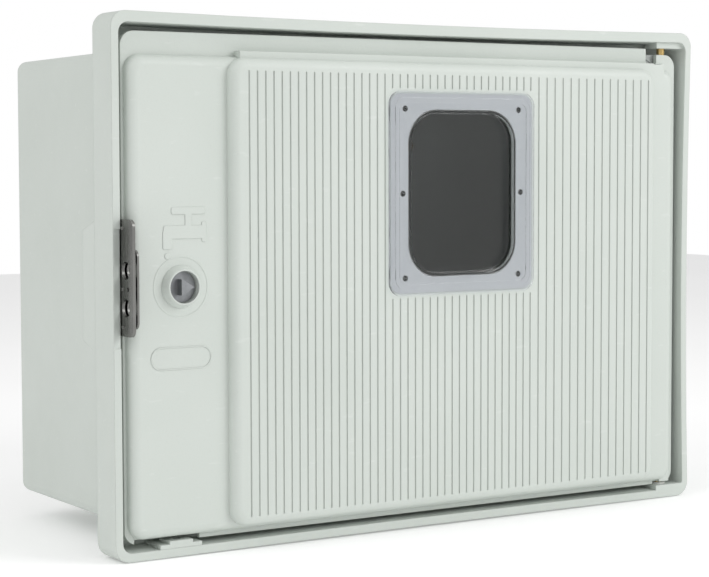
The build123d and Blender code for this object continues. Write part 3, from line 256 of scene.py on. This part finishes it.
def clear_plastic(name, tint, shadow_tint):
    """Clear moulded polycarbonate, faintly hazed, that lets light through to what is behind."""
    material, tree, shader, at = new_material(name)
    haze = noise(tree, at, 40.0, detail=3.0)
    tree.links.new(spread(tree, haze, 0.3, 0.7, 0.02, 0.07), shader.inputs["Roughness"])
    shader.inputs["Base Color"].default_value = (*tint, 1.0)
    shader.inputs["Transmission Weight"].default_value = 1.0
    shader.inputs["IOR"].default_value = 1.45
    ripple = noise(tree, at, 25.0, detail=2.0)
    normal = rounded_corner(tree, 0.0007)[0]
    give_bump(tree, shader, ripple, 0.05, 0.0003, normal)
    passing = tree.nodes.new("ShaderNodeBsdfTransparent")
    passing.inputs["Color"].default_value = (*shadow_tint, 1.0)
    rays = tree.nodes.new("ShaderNodeLightPath")
    indirect = tree.nodes.new("ShaderNodeMath")
    indirect.operation = "MAXIMUM"
    tree.links.new(rays.outputs["Is Shadow Ray"], indirect.inputs[0])
    tree.links.new(rays.outputs["Is Diffuse Ray"], indirect.inputs[1])
    choice = tree.nodes.new("ShaderNodeMixShader")
    tree.links.new(indirect.outputs[0], choice.inputs["Fac"])
    tree.links.new(shader.outputs["BSDF"], choice.inputs[1])
    tree.links.new(passing.outputs["BSDF"], choice.inputs[2])
    tree.links.new(choice.outputs["Shader"], tree.nodes["Material Output"].inputs["Surface"])
    return material


polycarbonate = clear_plastic(
    "clear_polycarbonate", tint=(0.955, 0.955, 0.975), shadow_tint=(0.86, 0.87, 0.88)
)
finish_node("window", polycarbonate)

# ---------------------------------------------------------------- push nuts
# Plain rings of spring steel, pressed over the window's stakes behind the panel. They grip the
# plastic and hold the window.
EVEN_GRAIN = (1.0, 1.0, 1.0)
spring_steel = metal(
    "spring_steel", (0.40, 0.41, 0.44), rough_low=0.25, rough_high=0.42, stretch=EVEN_GRAIN
)
finish_node("window_push_nuts", spring_steel)

# ---------------------------------------------------------------- lock housing
# Tapered boss moulded from the cabinet's polyester, with a threaded shank through the strip
# and a zinc plated nut behind it.
zinc_steel = metal(
    "zinc_plated_steel", (0.62, 0.63, 0.64), rough_low=0.28, rough_high=0.45, stretch=EVEN_GRAIN
)
finish_node("lock_housing", door_polyester)
finish_node("lock_nut", zinc_steel)

# ---------------------------------------------------------------- lock barrel
# Zinc casting with the triangular stud of the key, left dark and a little rough from the die.
dark_casting = metal(
    "dark_die_casting",
    (0.30, 0.31, 0.32),
    rough_low=0.42,
    rough_high=0.60,
    stretch=EVEN_GRAIN,
    bump=0.3,
)
finish_node("lock_barrel", dark_casting)

# ---------------------------------------------------------------- crank and its screw
# Steel disc with a riveted pin on the barrel's square tang, held by a pan head screw. Both are
# zinc plated.
for steel in ("lock_crank", "crank_screw"):
    finish_node(steel, zinc_steel)

# ---------------------------------------------------------------- bolt, yoke and guides
# Plated steel rod in a moulded yoke. It slides in two nylon blocks that are screwed to the
# back of the door.
nylon = moulded_plastic(
    "natural_nylon", (0.80, 0.80, 0.77), shade=0.3, corner_radius=0.0005, corner_highlight=0.1
)
for steel in ("drop_bolt", "guide_screws"):
    finish_node(steel, zinc_steel)
for moulding in ("bolt_yoke", "bolt_guides"):
    finish_node(moulding, nylon)

# ---------------------------------------------------------------- padlock plates
# Two pierced plates of rolled stainless steel, one riveted inside the collar and one to the
# door's rim. Their cut edges carry a painted highlight that makes them brighter.
rolled_steel = metal(
    "rolled_steel",
    (0.235, 0.235, 0.225),
    rough_low=0.20,
    rough_high=0.38,
    stretch=(1.0, 1.0, 0.08),
)
for plate in ("frame_padlock_plate", "door_padlock_plate"):
    finish_node(plate, rolled_steel)
for rivets in ("frame_plate_rivets", "door_plate_rivets"):
    finish_node(rivets, rolled_steel)

# ---------------------------------------------------------------- hinge pins and fittings
# Turned brass pins; the upper one is sprung, with a folded steel tab and a spring clip. The
# door rests on a white nylon washer on the lower one.
for pin in ("upper_hinge_pin", "lower_hinge_pin"):
    finish_node(pin, turned_brass)
painted_tab = moulded_plastic(
    "grey_coated_tab", (0.42, 0.44, 0.43), shade=0.5, corner_radius=0.0004, corner_highlight=0.3
)
finish_node("hinge_pin_lever", painted_tab)
for steel in ("hinge_pin_spring", "hinge_pin_clip"):
    finish_node(steel, spring_steel)
finish_node("hinge_washer", nylon)

# ---------------------------------------------------------------- floor and light
# The cabinet stands on a plain pale sheet. A broad soft light comes from the front right, a
# weaker one from the upper left and one from above, in a white room.
collar_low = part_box("cabinet_collar")[0]
box_low, box_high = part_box("cabinet_box")
FLOOR_GAP = 0.0005
FLOOR_SIDE = 6
FLOOR_GLOW = 0.16
floor_level = min(collar_low.z, box_low.z) - FLOOR_GAP
bpy.ops.mesh.primitive_plane_add(size=FLOOR_SIDE, location=(0, 0, floor_level))
floor = bpy.context.object
floor.name = "studio_floor"
floor_material, floor_tree, floor_shader, floor_at = new_material("studio_paper")
paper = noise(floor_tree, floor_at, 3.0, detail=2.0)
paper_tone = blend_colour(
    floor_tree, spread(floor_tree, paper, 0.3, 0.7), (0.93, 0.93, 0.93), (0.915, 0.915, 0.915)
)
floor_tree.links.new(paper_tone, floor_shader.inputs["Base Color"])
floor_shader.inputs["Roughness"].default_value = 0.9
floor_shader.inputs["Emission Color"].default_value = (1.0, 1.0, 1.0, 1.0)
floor_shader.inputs["Emission Strength"].default_value = FLOOR_GLOW
floor.data.materials.append(floor_material)


def area_light(name, place, aim, size, power):
    """Square soft white light at place, turned to aim."""
    data = bpy.data.lights.new(name, "AREA")
    data.size = size
    data.energy = power
    lamp = bpy.data.objects.new(name, data)
    bpy.context.scene.collection.objects.link(lamp)
    lamp.location = place
    lamp.rotation_euler = (Vector(aim) - Vector(place)).to_track_quat("-Z", "Y").to_euler()
    return lamp


centre = (collar_low + box_high) / 2
area_light("key_light", (1.5, -2.1, 1.2), centre, size=1.4, power=26.0)
area_light("side_light", (-1.8, -0.4, 1.5), centre, size=1.2, power=11.0)
area_light("top_light", (0.0, -0.5, 2.0), centre, size=1.6, power=5.0)
ROOM_SEEN = 1.0
ROOM_LIGHT = 0.64
room = bpy.data.worlds.new("white_room")
room.use_nodes = True
room_tree = room.node_tree
seen_white = room_tree.nodes["Background"]
seen_white.inputs["Color"].default_value = (1.0, 1.0, 1.0, 1.0)
seen_white.inputs["Strength"].default_value = ROOM_SEEN
soft_light = room_tree.nodes.new("ShaderNodeBackground")
soft_light.inputs["Color"].default_value = (1.0, 1.0, 1.0, 1.0)
soft_light.inputs["Strength"].default_value = ROOM_LIGHT
rays = room_tree.nodes.new("ShaderNodeLightPath")
choice = room_tree.nodes.new("ShaderNodeMixShader")
room_tree.links.new(rays.outputs["Is Camera Ray"], choice.inputs["Fac"])
room_tree.links.new(soft_light.outputs["Background"], choice.inputs[1])
room_tree.links.new(seen_white.outputs["Background"], choice.inputs[2])
room_tree.links.new(choice.outputs["Shader"], room_tree.nodes["World Output"].inputs["Surface"])
bpy.context.scene.world = room
bpy.context.scene.view_settings.view_transform = "Standard"

# ---------------------------------------------------------------- camera
# The camera stands low in front of the cabinet's left, with a long lens, and looks a little
# down on it.
CAMERA_LEFT = 0.5853
CAMERA_AHEAD = 1.2045
CAMERA_RISE = 0.271815
SENSOR_WIDTH = 36.0
LENS_LENGTH = 101.82
yaw = math.radians(32.79)
pitch = math.radians(3.73)
roll = math.radians(-0.14)
camera_data = bpy.data.cameras.new("camera")
camera_data.sensor_width = SENSOR_WIDTH
camera_data.lens = LENS_LENGTH
camera = bpy.data.objects.new("camera", camera_data)
bpy.context.scene.collection.objects.link(camera)
forward = Vector((math.sin(yaw) * math.cos(pitch), math.cos(yaw) * math.cos(pitch), -math.sin(pitch)))
turn = forward.to_track_quat("-Z", "Y").to_matrix().to_4x4() @ Matrix.Rotation(roll, 4, "Z")
stand = collar_low + Vector((-CAMERA_LEFT, -CAMERA_AHEAD, CAMERA_RISE))
camera.matrix_world = Matrix.Translation(stand) @ turn
bpy.context.scene.camera = camera
